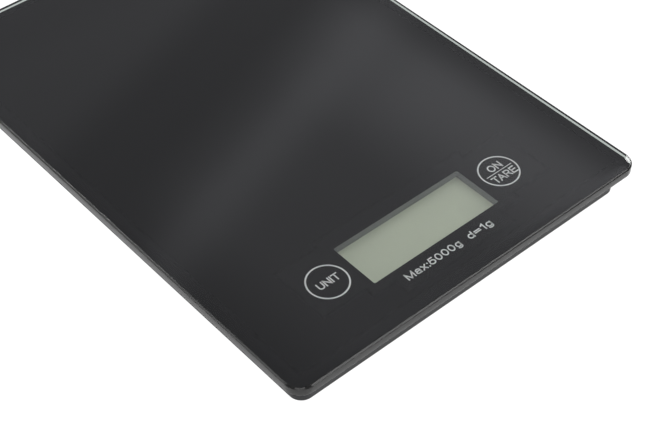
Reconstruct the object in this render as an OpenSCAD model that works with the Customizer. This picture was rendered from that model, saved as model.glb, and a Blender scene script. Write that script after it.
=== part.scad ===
// Slim glass kitchen scale on four weighing feet, in millimetres.
// Origin: on the table under the middle of the scale.
// +X to the user's right, +Y away from the user, +Z up. The display is at the -Y end.

/* [Platform] */
// Width of the glass platform
plat_w = 160; // [144:1:190]
// Length of the glass platform, front to back
plat_d = 228; // [210:1:270]
// Corner radius of the glass, seen from above
plat_r = 6.4; // [5:0.2:12]
// Glass thickness
glass_t = 4; // [3:0.5:6]
// Width of the ground edge bevel
arris = 0.6; // [0.2:0.1:0.8]
// Thickness of the black print under the glass
print_t = 0.12; // [0.05:0.01:0.2]
// Clear strip between the print and the bevel
print_clear = 0.05; // [0:0.05:2]
// Thickness of the double-sided foam tape
tape_t = 0.5; // [0.3:0.1:1]
// Width of the foam tape band
tape_w = 8; // [5:0.5:10]

/* [Housing] */
// Height of the housing, from its underside to the underside of the glass
base_h = 10; // [10:0.5:16]
// Gap between the table and the underside of the housing
foot_gap = 2; // [1.8:0.1:4]
// How far the housing stands in from the glass, left and right
inset_x = 4.6; // [3:0.1:7]
// How far the housing stands in from the glass, front and back
inset_y = 4.8; // [3:0.1:7]
// Corner radius of the housing
base_r = 4.8; // [4:0.2:8]
// Thickness of the side walls
wall_t = 1.6; // [1.2:0.1:2]
// Thickness of the floor
floor_t = 1.6; // [1.4:0.1:1.8]
// Thickness of the upper frame's plate
plate_t = 1.6; // [1.2:0.1:1.8]
// Bevel on the bottom edge of the housing
base_bevel = 0.6; // [0.2:0.1:1]
// Height of the stiffening ribs on the floor
rib_h = 1.4; // [0.6:0.1:1.6]
// Distance of the side screws from the middle, front to back
screw_y = 62; // [50:1:64]
// Distance of the end screws from the middle, left to right
screw_x = 30; // [24:1:34]

/* [Display and keys] */
// Width of the display window
win_w = 58.6; // [50:0.2:60]
// Depth of the display window, front to back
win_d = 21; // [17:0.2:23]
// Distance from the front edge of the glass to the middle of the window
win_in = 30.9; // [30:0.1:36]
// Depth of the display below the underside of the glass
recess = 3.1; // [2.8:0.1:3.2]
// Distance of each touch key from the middle, left to right
key_x = 40.5; // [40:0.5:42]
// Distance from the front edge of the glass to the middle of the keys
key_in = 31.3; // [30:0.1:36]
// Radius of the foam pads behind the touch keys
key_r = 5; // [3:0.2:5.4]

/* [Battery] */
// Radius of the coin cell
cell_r = 10; // [8:0.5:12]
// Height of the coin cell
cell_h = 3.2; // [2:0.1:3.2]
// Distance of the battery from the middle, towards the back
cell_y = 10; // [-5:1:20]
// How far the battery cover turns to unlock
turn = 45; // [35:1:50]
// Width of each bayonet lug
lug = 22; // [16:1:26]

/* [Feet] */
// Distance of the feet from the housing's side edges
foot_in_x = 14.4; // [14.2:0.1:16]
// Distance of the feet from the housing's front and back edges
foot_in_y = 18.6; // [18.6:0.1:24]
// Radius of the foot where it passes through the floor
foot_r = 8.6; // [7.5:0.1:8.8]
// Upward travel of each foot onto its overload stop
travel = 0.4; // [0.2:0.05:0.5]
// Thickness of the rubber pad
pad_t = 1.4; // [1:0.1:1.6]

/* [Fits] */
// Gap around moving pieces
gap = 0.3; // [0.2:0.05:0.4]
// Gap between pieces that are put together and stay
fit = 0.2; // [0.1:0.05:0.3]

/* [Hidden] */
$fn = 72;
eps = 0.01;
base_w = plat_w - 2 * inset_x;
base_d = plat_d - 2 * inset_y;
in_w = base_w - 2 * wall_t;
in_d = base_d - 2 * wall_t;

print_margin = arris + print_clear;

// heights of the housing, bottom to top
z_base = foot_gap;
z_floor = z_base + floor_t;
z_under = z_base + base_h;
z_print = z_under - print_t;
z_tape = z_print - tape_t;
z_plate = z_tape - plate_t;
z_wire = z_plate - 1.08;

// display stack, from the glass down
win_y = win_in - plat_d / 2;
key_y = key_in - plat_d / 2;
z_lcd = z_under - recess;
film_t = 0.2;
lcd_t = 1.1;
lcd_w = win_w + 5.4;
lcd_d = win_d + 6;
lcd_step = 3.6;
pol_w = lcd_w - 2;
pol_d = lcd_d - 3;
ref_d = lcd_d - lcd_step - 1.4;
bez_w = lcd_w + 2;
bez_d = lcd_d + 2;
bez_ear = 2;
z_cell_mid = z_lcd - film_t - lcd_t;
z_cell_low = z_cell_mid - lcd_t;
z_pcb_top = z_cell_low - film_t - 0.3;
pcb_t = 1;
z_pcb = z_pcb_top - pcb_t;
pcb_w = 2 * (key_x + 8);
pcb_d = bez_d + 4;
pcb_y = win_y + 1;
pcb_boss_x = pcb_w / 2 - 3;
pcb_boss_y = pcb_d / 2 - 3;
wire_land_y = pcb_y + pcb_d / 2 - 1.3;

// housing screws
post_r = 4.2;
boss_r = 2.9;
screw_r = 1.2;
head_r = 2.3;
head_h = 1.3;
z_head = z_base + 0.5;
z_join = z_floor + 1.6;
side_x = in_w / 2 - post_r + 0.4;
end_y = in_d / 2 - post_r + 0.4;
screws = [
  for (sx = [-1, 1], sy = [-1, 1]) [sx * side_x, sy * screw_y],
  for (sx = [-1, 1], sy = [-1, 1]) [sx * screw_x, sy * end_y]
];

// feet and weighing plates
foot_x = base_w / 2 - foot_in_x;
foot_y = base_d / 2 - foot_in_y;
pad_r = foot_r - 0.8;
pad_in = 0.4;
flange_r = foot_r + 1.6;
flange_t = 0.75;
z_flange = z_floor + 0.05;
stem_r = 2.5;
plate_w = 16;
plate_l = 30;
slot_w = 10.4;
slot_l = 22;
tongue_w = 7.6;
plate_s = 1;
z_steel = z_floor + 3;
z_steel_top = z_steel + plate_s;
seat_wall = 1.3;
z_stop = z_flange + flange_t + travel + 0.05;
gauge_y = 7.5;
wire_r = 0.45;
wire_step = 1.3;
bend = 0.8;

// battery bay and bayonet cover
cover_r = cell_r + 3;
cover_t = 1.4;
lug_out = 1.2;
lug_t = 0.7;
groove_r = cover_r + lug_out + fit;
ledge_t = 0.8;
z_lug = z_base + ledge_t + 0.05;
z_groove = z_lug + lug_t + gap;
bay_r = cell_r + 1.2;
z_coin = z_base + cover_t + 0.2;
z_leaf = z_coin + cell_h + 0.7;
leaf_t = 0.3;
z_bay = z_leaf + leaf_t;
bay_top = z_bay + 1.1;
tab_y = bay_r + 3.6;

label_w = 44;
label_d = 26;
label_y = 68;

// Piece to draw

// ---------- shared shapes ----------

module rounded(w, d, r) {
  square([w - 2 * r, d], center = true);
  square([w, d - 2 * r], center = true);
  for (sx = [-1, 1], sy = [-1, 1])
    translate([sx * (w / 2 - r), sy * (d / 2 - r)]) circle(r);
}

module slab(w, d, r, z0, z1)
  translate([0, 0, z0]) linear_extrude(z1 - z0) rounded(w, d, r);

module box(w, d, z0, z1)
  translate([-w / 2, -d / 2, z0]) cube([w, d, z1 - z0]);

module disc(r, z0, z1)
  translate([0, 0, z0]) cylinder(r = r, h = z1 - z0);

// a bar with a diamond section around the rim of a rounded slab: cuts a 45 degree bevel
module rim_cutter(w, d, r, c, z) {
  for (s = [-1, 1]) {
    translate([s * w / 2, 0, z]) rotate([0, 45, 0])
      cube([c * sqrt(2), d - 2 * r, c * sqrt(2)], center = true);
    translate([0, s * d / 2, z]) rotate([45, 0, 0])
      cube([w - 2 * r, c * sqrt(2), c * sqrt(2)], center = true);
  }
  for (q = [0:3])
    translate([(q == 0 || q == 3 ? 1 : -1) * (w / 2 - r), (q < 2 ? 1 : -1) * (d / 2 - r), z])
      rotate([0, 0, 90 * q]) rotate_extrude(angle = 90)
        polygon([[r - c, 0], [r, -c], [r + c, 0], [r, c]]);
}

// part of a ring, about the Z axis, centred on the angle a
module arc_block(r0, r1, z0, z1, a, width)
  rotate([0, 0, a - width / 2]) rotate_extrude(angle = width)
    translate([r0, z0]) square([r1 - r0, z1 - z0]);

function spin(d) = [d[1], d[2], d[0]];
function frame(u, v, w, p) = [
  [u[0], v[0], w[0], p[0]], [u[1], v[1], w[1], p[1]], [u[2], v[2], w[2], p[2]], [0, 0, 0, 1]
];
function unit(v) = v / norm(v);

// a wire along points joined by right-angled turns, rounded to the bend radius
module wire(pts, r) {
  last = len(pts) - 1;
  for (i = [0:last - 1]) {
    d = unit(pts[i + 1] - pts[i]);
    a = pts[i] + d * (i == 0 ? 0 : bend);
    b = pts[i + 1] - d * (i == last - 1 ? 0 : bend);
    multmatrix(frame(spin(d), cross(d, spin(d)), d, a)) cylinder(r = r, h = norm(b - a));
    if (i < last - 1) {
      e = unit(pts[i + 2] - pts[i + 1]);
      multmatrix(frame(-e, d, cross(-e, d), pts[i + 1] - d * bend + e * bend))
        rotate_extrude(angle = 90) translate([bend, 0]) circle(r);
    }
  }
}

// ---------- glass and what is bonded to it ----------

module glass_platform()
  color("#20282a") difference() {
    slab(plat_w, plat_d, plat_r, z_under, z_under + glass_t);
    rim_cutter(plat_w, plat_d, plat_r, arris, z_under);
    rim_cutter(plat_w, plat_d, plat_r, arris, z_under + glass_t);
  }

module back_print()
  color("#101012") difference() {
    slab(plat_w - 2 * print_margin, plat_d - 2 * print_margin, plat_r - print_margin, z_print, z_under);
    translate([0, win_y, 0]) slab(win_w, win_d, 0.6, z_print - 1, z_under + 1);
  }

module foam_tape()
  color("#2b2b2d") difference() {
    slab(base_w - 1, base_d - 1, base_r - 0.5, z_tape, z_print);
    slab(base_w - 1 - 2 * tape_w, base_d - 1 - 2 * tape_w, 1.5, z_tape - 1, z_print + 1);
  }

// ---------- housing ----------

// one seat for a weighing plate, hanging under the upper frame's plate
module plate_seat(sx, sy)
  translate([sx * foot_x, sy * foot_y, 0]) difference() {
    box(plate_w + 2 * (fit + seat_wall), plate_l + 2 * (fit + seat_wall), z_stop, z_plate + eps);
    box(plate_w + 2 * fit, plate_l + 2 * fit, z_stop - 1, z_steel_top);
    box(slot_w + 0.4, slot_l + 0.4, z_stop, z_plate);
    translate([-sx * plate_w / 2, -sy * gauge_y, 0])
      box(12, 3 * wire_step + 1, z_wire - 0.7, z_plate);
  }

module upper_frame()
  color("#26272a") difference() {
    union() {
      slab(base_w, base_d, base_r, z_plate, z_tape);
      difference() {
        slab(in_w - 2 * fit, in_d - 2 * fit, base_r - wall_t, z_plate - 1.4, z_plate + eps);
        slab(in_w - 2 * fit - 2, in_d - 2 * fit - 2, 2, z_plate - 2, z_plate);
      }
      for (p = screws) translate(p) disc(boss_r, z_join, z_plate + eps);
      for (sx = [-1, 1], sy = [-1, 1]) {
        plate_seat(sx, sy);
        translate([sx * pcb_boss_x, pcb_y + sy * pcb_boss_y, 0])
          disc(2, z_pcb_top, z_plate + eps);
      }
    }
    translate([0, win_y, 0]) box(bez_w + 2 * fit, bez_d + 2 * fit, z_plate - 1, z_tape + 1);
    for (sx = [-1, 1]) {
      translate([sx * key_x, key_y, 0]) disc(key_r + 0.8, z_plate - 1, z_tape + 1);
      for (sy = [-1, 1]) translate([sx * pcb_boss_x, pcb_y + sy * pcb_boss_y, 0])
        disc(0.82, z_pcb_top - 1, z_plate);
    }
    for (p = screws) translate(p) disc(screw_r + 0.02, z_join - 1, z_plate - 0.3);
  }

// angles of the three bayonet lugs at rest
lug_at = [90, 210, 330];

module battery_bay_walls()
  translate([0, cell_y, 0]) {
    disc(groove_r + wall_t, z_base, z_groove + 1.2);
    disc(bay_r + wall_t, z_base, bay_top);
  }

module battery_bay_hollow()
  translate([0, cell_y, 0]) {
    disc(cover_r + fit, z_base - 1, z_groove);
    disc(bay_r, z_base, z_bay);
    for (a = lug_at) {
      arc_block(cover_r, groove_r, z_base + ledge_t, z_groove, a - turn / 2, lug + turn + 3);
      arc_block(cover_r, groove_r, z_base - 1, z_base + ledge_t + 0.1, a - turn, lug + 3);
    }
    for (s = [-1, 1]) translate([0, s * tab_y / 2, 0])
      box(5.4, tab_y, z_leaf - 0.1, z_bay + 0.1);
    rotate([0, 0, 90 - turn / 2]) translate([groove_r + 2.4, 0, z_base - 1])
      rotate([0, 0, 180]) cylinder(r = 1.2, h = 1.3, $fn = 3);
  }

module lower_housing()
  color("#1d1e20") difference() {
    union() {
      difference() {
        slab(base_w, base_d, base_r, z_base, z_plate);
        slab(in_w, in_d, base_r - wall_t, z_floor, z_plate + 1);
      }
      for (p = screws) translate(p) disc(post_r, z_base + eps, z_join);
      for (s = [-1, 1]) {
        translate([0, s * 48, 0]) box(in_w + 1, 1, z_base + eps, z_floor + rib_h);
        translate([s * 24, 22, 0]) box(1, in_d - 66, z_base + eps, z_floor + rib_h);
      }
      for (sx = [-1, 1], sy = [-1, 1]) translate([sx * foot_x, sy * foot_y, 0]) {
        difference() {
          disc(flange_r + gap + 1, z_base + eps, z_floor + 0.95);
          disc(flange_r + gap, z_floor, z_floor + 2);
        }
        for (s = [-1, 1]) translate([0, s * 13.3, 0]) disc(1.4, z_base + eps, z_steel - 0.02);
      }
      battery_bay_walls();
    }
    battery_bay_hollow();
    rim_cutter(base_w, base_d, base_r, base_bevel, z_base);
    for (p = screws) translate(p) {
      disc(head_r + 0.3, z_base - 1, z_head + head_h);
      disc(screw_r + 0.3, z_base, z_join + 1);
    }
    for (sx = [-1, 1], sy = [-1, 1])
      translate([sx * foot_x, sy * foot_y, 0]) disc(foot_r + gap, z_base - 1, z_floor + 1);
    translate([0, label_y, 0]) slab(label_w + 1, label_d + 1, 1.5, z_base - 1, z_base + 0.15);
  }

module housing_screws()
  color("#8b8d90") for (p = screws) translate(p) difference() {
    union() {
      disc(head_r, z_head, z_head + head_h);
      disc(screw_r, z_head + head_h - eps, z_plate - 0.5);
    }
    for (a = [0, 90]) rotate([0, 0, a]) box(2.8, 0.6, z_head - 1, z_head + 0.8);
  }

module rating_label()
  color("#c9cacb") translate([0, label_y, 0])
    slab(label_w, label_d, 1, z_base + 0.05, z_base + 0.15);

// ---------- display ----------

module lcd_bezel()
  color("#8f918f") translate([0, win_y, 0]) difference() {
    union() {
      box(bez_w, bez_d, z_pcb_top + 0.05, z_print);
      box(bez_w + 2 * bez_ear, bez_d - 8, z_plate - 1.02, z_plate - 0.02);
    }
    slab(win_w, win_d, 0.6, z_lcd - 1, z_print + 1);
    box(lcd_w + 2 * fit, lcd_d + 2 * fit, z_pcb_top - 1, z_lcd);
  }

module lcd_cell()
  color("#9aa393") translate([0, win_y, 0]) {
    box(lcd_w, lcd_d, z_cell_mid, z_lcd - film_t);
    translate([0, -lcd_step / 2, 0]) box(lcd_w, lcd_d - lcd_step, z_cell_low, z_cell_mid + eps);
  }

module lcd_polariser()
  color("#a7ad9f") translate([0, win_y, 0]) box(pol_w, pol_d, z_lcd - film_t, z_lcd);

module lcd_reflector()
  color("#b9bcb6") translate([0, win_y - lcd_step / 2, 0])
    box(pol_w, ref_d, z_cell_low - film_t, z_cell_low);

module zebra_strip()
  color("#3a3a3c") translate([0, win_y + lcd_d / 2 - 1.7, 0])
    box(lcd_w - 6, 2.2, z_pcb_top, z_cell_mid);

// ---------- circuit board ----------

module main_pcb()
  color("#1f5a36") difference() {
    translate([0, pcb_y, 0]) box(pcb_w, pcb_d, z_pcb, z_pcb_top);
    for (sx = [-1, 1], sy = [-1, 1])
      translate([sx * pcb_boss_x, pcb_y + sy * pcb_boss_y, 0]) disc(1, z_pcb - 1, z_pcb_top + 1);
  }

module pcb_screws()
  color("#9c9ea1") for (sx = [-1, 1], sy = [-1, 1])
    translate([sx * pcb_boss_x, pcb_y + sy * pcb_boss_y, 0]) difference() {
      union() {
        disc(1.6, z_pcb - 0.8, z_pcb);
        disc(0.8, z_pcb - eps, z_plate - 0.4);
      }
      for (a = [0, 90]) rotate([0, 0, a]) box(1.9, 0.4, z_pcb - 1, z_pcb - 0.4);
    }

module chip_blob()
  color("#151515") translate([0, pcb_y, z_pcb - 1]) {
    cylinder(r1 = 3.2, r2 = 4.6, h = 0.4);
    translate([0, 0, 0.4 - eps]) cylinder(r1 = 4.6, r2 = 5.2, h = 0.6 + eps);
  }

module chip_parts()
  color("#b0a890") for (i = [0:7])
    translate([(i - 3.5) * 4, pcb_y - 11, 0]) box(1.6, 0.8, z_pcb - 0.5, z_pcb);

module quartz_crystal()
  color("#b9bbbe") translate([key_x - 5.4, pcb_y - pcb_boss_y + 0.6, z_pcb_top + 1.05])
    rotate([0, 90, 0]) cylinder(r = 1, h = 6);

module filter_capacitor()
  color("#22242c") translate([-key_x + 2.2, pcb_y - pcb_boss_y + 1.2, 0])
    disc(2, z_pcb_top, z_pcb_top + 3);

// lead positions: [x, y] on the board for each colour, 0 red, 1 black, 2 white
function gauge_land(sx, sy, k) = sy < 0
  ? [sx * (pcb_w / 2 - 1.4), sy * foot_y - sy * gauge_y + (k - 1) * wire_step]
  : [sx * (key_x + 1 - k * wire_step), wire_land_y];
cell_land = [[17, wire_land_y], [0, wire_land_y]];

module solder_joint(p)
  translate([p[0], p[1], z_pcb_top]) cylinder(r1 = 0.62, r2 = 0.5, h = 0.5);

module solder_joints()
  color("#c3c5c8") {
    for (sx = [-1, 1], sy = [-1, 1], k = [0:2]) solder_joint(gauge_land(sx, sy, k));
    for (p = cell_land) solder_joint(p);
  }

module touch_foams()
  color("#333336") for (sx = [-1, 1])
    translate([sx * key_x, key_y, 0]) disc(key_r, z_pcb_top, z_print);

// ---------- battery ----------

module battery_can()
  color("#c5c7c9") translate([0, cell_y, 0]) difference() {
    disc(cell_r, z_coin, z_coin + cell_h - 0.4);
    disc(cell_r - 0.9, z_coin + cell_h - 0.9, z_coin + cell_h);
  }

module battery_cap()
  color("#d2d3d4") translate([0, cell_y, 0])
    disc(cell_r - 1.1, z_coin + cell_h - 0.88, z_coin + cell_h);

module contact_positive()
  color("#d6cfae") translate([0, cell_y, 0]) {
    translate([-2, cell_r + 0.05, z_coin + 0.4]) cube([4, 0.3, z_leaf + leaf_t - z_coin - 0.4]);
    translate([-2, cell_r + 0.05, z_leaf]) cube([4, tab_y - cell_r - 0.05, leaf_t]);
  }

module contact_negative()
  color("#d6cfae") translate([0, cell_y, 0]) {
    translate([-2, -tab_y, z_leaf]) cube([4, tab_y - 5, leaf_t]);
    translate([-2, -5.2, z_leaf]) rotate([-4.4, 0, 0]) cube([4, 9, leaf_t]);
  }

module battery_cover()
  color("#1d1e20") translate([0, cell_y, 0]) difference() {
    union() {
      disc(cover_r, z_base, z_lug + lug_t);
      for (a = lug_at) arc_block(cover_r - 1, cover_r + lug_out, z_lug, z_lug + lug_t - 0.05, a, lug);
    }
    disc(cover_r - 1.5, z_base + cover_t, z_groove + 1);
    box(16, 2, z_base - 1, z_base + 0.9);
    rotate([0, 0, 90]) translate([cover_r - 3, 0, z_base - 1])
      cylinder(r = 1.2, h = 1.3, $fn = 3);
  }

// ---------- weighing plates, wires and feet ----------

module load_plate(sx, sy)
  color("#a9acb0") translate([sx * foot_x, sy * foot_y, z_steel]) linear_extrude(plate_s)
    difference() {
      rounded(plate_w, plate_l, 1.5);
      difference() {
        square([slot_w, slot_l], center = true);
        translate([0, -sy * 0.7]) square([tongue_w, slot_l - 1.2 + 0.2], center = true);
      }
    }

module load_plate_front_left() load_plate(-1, -1);
module load_plate_front_right() load_plate(1, -1);
module load_plate_back_left() load_plate(-1, 1);
module load_plate_back_right() load_plate(1, 1);

module gauge_sealant()
  color("#e6e6e2") for (sx = [-1, 1], sy = [-1, 1])
    translate([sx * foot_x, sy * (foot_y - gauge_y), 0]) box(6, 5, z_steel_top, z_wire + 0.6);

module gauge_wires(k)
  for (sx = [-1, 1], sy = [-1, 1]) {
    land = gauge_land(sx, sy, k);
    y = sy * foot_y - sy * gauge_y + (k - 1) * wire_step;
    a = [sx * (foot_x - 3.02), y, z_wire];
    b = [land[0], y, z_wire];
    c = [land[0], land[1], z_wire];
    d = [land[0], land[1], z_pcb_top + 0.52];
    wire(sy < 0 ? [a, b, d] : [a, b, c, d], wire_r);
  }

module wires_red()
  color("#b3262a") {
    gauge_wires(0);
    a = [0, cell_y + tab_y - 1, z_bay + 0.02];
    b = [0, a[1], z_wire];
    c = [cell_land[0][0], a[1], z_wire];
    d = [c[0], cell_land[0][1], z_wire];
    wire([a, b, c, d, [d[0], d[1], z_pcb_top + 0.52]], wire_r);
  }

module wires_black()
  color("#1a1a1a") {
    gauge_wires(1);
    a = [0, cell_y - tab_y + 1, z_bay + 0.02];
    b = [0, a[1], z_wire];
    c = [0, cell_land[1][1], z_wire];
    wire([a, b, c, [0, c[1], z_pcb_top + 0.52]], wire_r);
  }

module wires_white()
  color("#e4e4e0") gauge_wires(2);

module foot_cup(sx, sy)
  color("#1d1e20") translate([sx * foot_x, sy * foot_y, 0]) {
    difference() {
      union() {
        disc(foot_r, pad_t - pad_in, z_flange + flange_t);
        disc(flange_r, z_flange, z_flange + flange_t);
      }
      disc(pad_r + 0.05, 0, pad_t);
      disc(foot_r - 1.4, pad_t + 1.2, z_flange + 2);
    }
    disc(stem_r, pad_t + 1, z_steel - 0.02);
    for (a = [0, 90]) rotate([0, 0, a])
      box(2 * foot_r - 2, 1, pad_t + 1, z_flange + flange_t - 0.2);
  }

module foot_pad(sx, sy)
  color("#3b3c3e") translate([sx * foot_x, sy * foot_y, 0]) {
    difference() {
      disc(pad_r, 0, pad_t);
      disc(pad_r - 1.2, -1, 0.3);
    }
    for (r = [pad_r - 2.4, pad_r - 4.8]) difference() {
      disc(r, 0, 0.4);
      disc(r - 1.2, -1, 0.3);
    }
  }

module foot_cup_front_left() foot_cup(-1, -1);
module foot_cup_front_right() foot_cup(1, -1);
module foot_cup_back_left() foot_cup(-1, 1);
module foot_cup_back_right() foot_cup(1, 1);
module foot_pad_front_left() foot_pad(-1, -1);
module foot_pad_front_right() foot_pad(1, -1);
module foot_pad_back_left() foot_pad(-1, 1);
module foot_pad_back_right() foot_pad(1, 1);

// ---------- what is drawn ----------

glass_platform();
back_print();
foam_tape();
upper_frame();
lower_housing();
housing_screws();
lcd_bezel();
lcd_cell();
lcd_polariser();
lcd_reflector();
zebra_strip();
main_pcb();
pcb_screws();
chip_blob();
chip_parts();
quartz_crystal();
filter_capacitor();
solder_joints();
touch_foams();
battery_can();
battery_cap();
contact_positive();
contact_negative();
battery_cover();
rating_label();
load_plate_front_left();
load_plate_front_right();
load_plate_back_left();
load_plate_back_right();
gauge_sealant();
wires_red();
wires_black();
wires_white();
foot_cup_front_left();
foot_cup_front_right();
foot_cup_back_left();
foot_cup_back_right();
foot_pad_front_left();
foot_pad_front_right();
foot_pad_back_left();
foot_pad_back_right();
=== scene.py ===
import math

import bpy
import numpy as np
from mathutils import Matrix, Vector


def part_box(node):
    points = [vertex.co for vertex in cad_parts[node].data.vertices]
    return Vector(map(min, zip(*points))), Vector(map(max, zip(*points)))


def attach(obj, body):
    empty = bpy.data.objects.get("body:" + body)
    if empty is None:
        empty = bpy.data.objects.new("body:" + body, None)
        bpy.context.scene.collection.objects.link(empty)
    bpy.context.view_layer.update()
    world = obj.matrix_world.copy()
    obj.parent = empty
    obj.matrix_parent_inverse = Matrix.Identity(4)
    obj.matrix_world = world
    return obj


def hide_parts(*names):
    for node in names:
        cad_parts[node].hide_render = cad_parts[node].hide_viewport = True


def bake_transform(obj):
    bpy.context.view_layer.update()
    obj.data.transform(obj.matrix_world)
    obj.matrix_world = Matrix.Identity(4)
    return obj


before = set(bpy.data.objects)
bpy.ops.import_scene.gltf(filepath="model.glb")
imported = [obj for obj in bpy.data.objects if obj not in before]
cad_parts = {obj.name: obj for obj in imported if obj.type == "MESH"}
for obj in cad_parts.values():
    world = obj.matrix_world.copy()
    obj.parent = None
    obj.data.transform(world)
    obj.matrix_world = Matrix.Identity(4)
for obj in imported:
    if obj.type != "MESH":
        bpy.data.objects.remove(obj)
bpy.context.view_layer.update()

# ---------- camera ----------
# A long lens on a tripod, stood at the front left corner of the scale and looking down on it.
# The back left corner and the right end of the back edge run out of the view.

camera_data = bpy.data.cameras.new("camera")
camera_data.lens = 82.579
camera_data.sensor_width = 36.0
camera_data.clip_start = 0.02
camera_data.clip_end = 20.0
camera = bpy.data.objects.new("camera", camera_data)
bpy.context.scene.collection.objects.link(camera)
bpy.context.scene.camera = camera

heading, pitch, roll = 0.7148077, 0.7891380, -0.0041641
look = Vector((math.sin(heading) * math.cos(pitch), math.cos(heading) * math.cos(pitch), -math.sin(pitch)))
level = Vector((math.cos(heading), -math.sin(heading), 0.0))
above = level.cross(look)
camera_right = level * math.cos(roll) + above * math.sin(roll)
camera_up = above * math.cos(roll) - level * math.sin(roll)
camera_place = Vector((-0.262618, -0.339932, 0.385103))
camera.matrix_world = Matrix.Translation(camera_place) @ Matrix(
    (camera_right, camera_up, -look)).transposed().to_4x4()
bpy.context.scene.view_settings.view_transform = "Standard"

# ---------- studio: white floor, room, softboxes and the card that the glass mirrors ----------
# A product table of white acrylic that glows enough to read as plain white with no shadow.
# The room is a dim even grey. Five softboxes light the legends, the display and the bevels, and
# a card hung behind the scale shows in the glass as a soft slanting band of light.


def linear(colour):
    """An sRGB hex colour as linear red, green, blue and full alpha."""
    part = [int(colour[i:i + 2], 16) / 255 for i in (1, 3, 5)]
    return tuple(c / 12.92 if c <= 0.04045 else ((c + 0.055) / 1.055) ** 2.4 for c in part) + (1.0,)


def new_material(name):
    """An empty node material."""
    made = bpy.data.materials.new(name)
    made.use_nodes = True
    made.node_tree.nodes.clear()
    return made


def node(material, kind, sockets=None, tones=None, **settings):
    """Adds a shader node. A socket takes a plain value, or another node's output to link. The two
    tones of a colour ramp are given by where along it they stand."""
    made = material.node_tree.nodes.new("ShaderNode" + kind)
    for name, value in settings.items():
        setattr(made, name, value)
    for stop, (position, colour) in enumerate((tones or {}).items()):
        made.color_ramp.elements[stop].position = position
        made.color_ramp.elements[stop].color = linear(colour)
    for name, value in (sockets or {}).items():
        if isinstance(value, bpy.types.NodeSocket):
            material.node_tree.links.new(value, made.inputs[name])
        else:
            made.inputs[name].default_value = value
    return made


def grid_faces(nu, nv, close_u=False, close_v=False, capped=False):
    """The faces over nu by nv points: a quad between neighbours, and if capped the first and last rows."""
    u = np.arange(nu if close_u else nu - 1)[:, None]
    v = np.arange(nv if close_v else nv - 1)[None, :]
    un, vn = (u + 1) % nu, (v + 1) % nv
    faces = np.stack([u * nv + v, un * nv + v, un * nv + vn, u * nv + vn], -1).reshape(-1, 4).tolist()
    row = np.arange(nv)
    return faces + ([row[::-1].tolist(), (row + (nu - 1) * nv).tolist()] if capped else [])


def mesh_object(name, points, faces, *materials):
    """A mesh object in the scene, from its points, faces and materials."""
    mesh = bpy.data.meshes.new(name)
    mesh.from_pydata(points.reshape(-1, 3).tolist(), [], faces)
    for material in materials:
        mesh.materials.append(material)
    made = bpy.data.objects.new(name, mesh)
    bpy.context.scene.collection.objects.link(made)
    return made


def grid_surface(name, points, material, **ends):
    """A mesh object over an array of points [u, v, xyz], faced outward where u x v points out."""
    return mesh_object(name, points, grid_faces(*points.shape[:2], **ends), material)


room = bpy.data.worlds.new("studio_room")
bpy.context.scene.world = room
room.use_nodes = True
room.node_tree.nodes["Background"].inputs["Color"].default_value = linear("#ffffff")
room.node_tree.nodes["Background"].inputs["Strength"].default_value = 0.5

# white acrylic, lit through from beneath; it is open from below, so the scale's underside can be looked at
table_top = new_material("white_acrylic_table")
speck = node(table_top, "TexNoise", {"Scale": 900.0, "Detail": 2.0})
sheen = node(table_top, "MapRange", {"Value": speck.outputs["Fac"], "To Min": 0.5, "To Max": 0.6})
acrylic = node(table_top, "BsdfPrincipled", {
    "Base Color": linear("#202020"), "Roughness": sheen.outputs["Result"],
    "Emission Color": linear("#ffffff"), "Emission Strength": 1.02})
one_way = node(table_top, "MixShader", {0: node(table_top, "NewGeometry").outputs["Backfacing"],
                                        1: acrylic.outputs["BSDF"],
                                        2: node(table_top, "BsdfTransparent").outputs["BSDF"]})
node(table_top, "OutputMaterial", {"Surface": one_way.outputs["Shader"]})
table_half, table_drop = 3.0, 0.0003
span = np.linspace(-table_half, table_half, 3)
table_points = np.stack([*np.meshgrid(span, span, indexing="ij"), np.full((3, 3), -table_drop)], -1)
table = grid_surface("studio_table", table_points, table_top)


def softbox(name, toward, distance, width, height, radiance):
    """An area light on a line from the scale's middle, facing it, of a given radiance."""
    data = bpy.data.lights.new(name, "AREA")
    data.shape = "RECTANGLE"
    data.size, data.size_y = width, height
    data.energy = radiance * math.pi * width * height
    made = bpy.data.objects.new(name, data)
    bpy.context.scene.collection.objects.link(made)
    way = Vector(toward).normalized()
    made.location = way * distance
    made.rotation_mode = "QUATERNION"
    made.rotation_quaternion = way.to_track_quat("Z", "Y")
    made.visible_camera = False
    return made


softbox("softbox_behind_camera", (-0.50, -0.58, 0.64), 1.5, 1.1, 1.1, 1.2)
softbox("softbox_front_right", (0.456, -0.708, 0.538), 1.4, 0.7, 0.5, 2.3)
softbox("softbox_left", (-0.708, 0.538, 0.456), 1.4, 0.7, 0.5, 1.2)
softbox("softbox_back", (-0.15, 1.10, 0.95), 1.5, 0.8, 0.7, 6.2)
softbox("softbox_right", (1.10, 0.10, 0.90), 1.5, 0.8, 0.7, 7.2)

# card hung over the table: a point of the glass mirrors the card point on the camera's mirror line
card_height = 1.0
glass_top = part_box("glass_platform")[1].z
reach = 1.0 + card_height / (camera_place.z - glass_top)
card_half_x, card_half_y = 0.26, 0.30
card_x, card_y = np.meshgrid(np.linspace(-card_half_x, card_half_x, 105),
                             np.linspace(-card_half_y, card_half_y, 121), indexing="ij")
card_points = np.stack([camera_place.x + (card_x - camera_place.x) * reach,
                        camera_place.y + (card_y - camera_place.y) * reach,
                        np.full(card_x.shape, glass_top + card_height)], -1)


def ease(value, start, end):
    """A soft step: 0 up to start, 1 from end, and 3tt - 2ttt between."""
    t = np.clip((value - start) / (end - start), 0.0, 1.0)
    return t * t * (3 - 2 * t)


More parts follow.
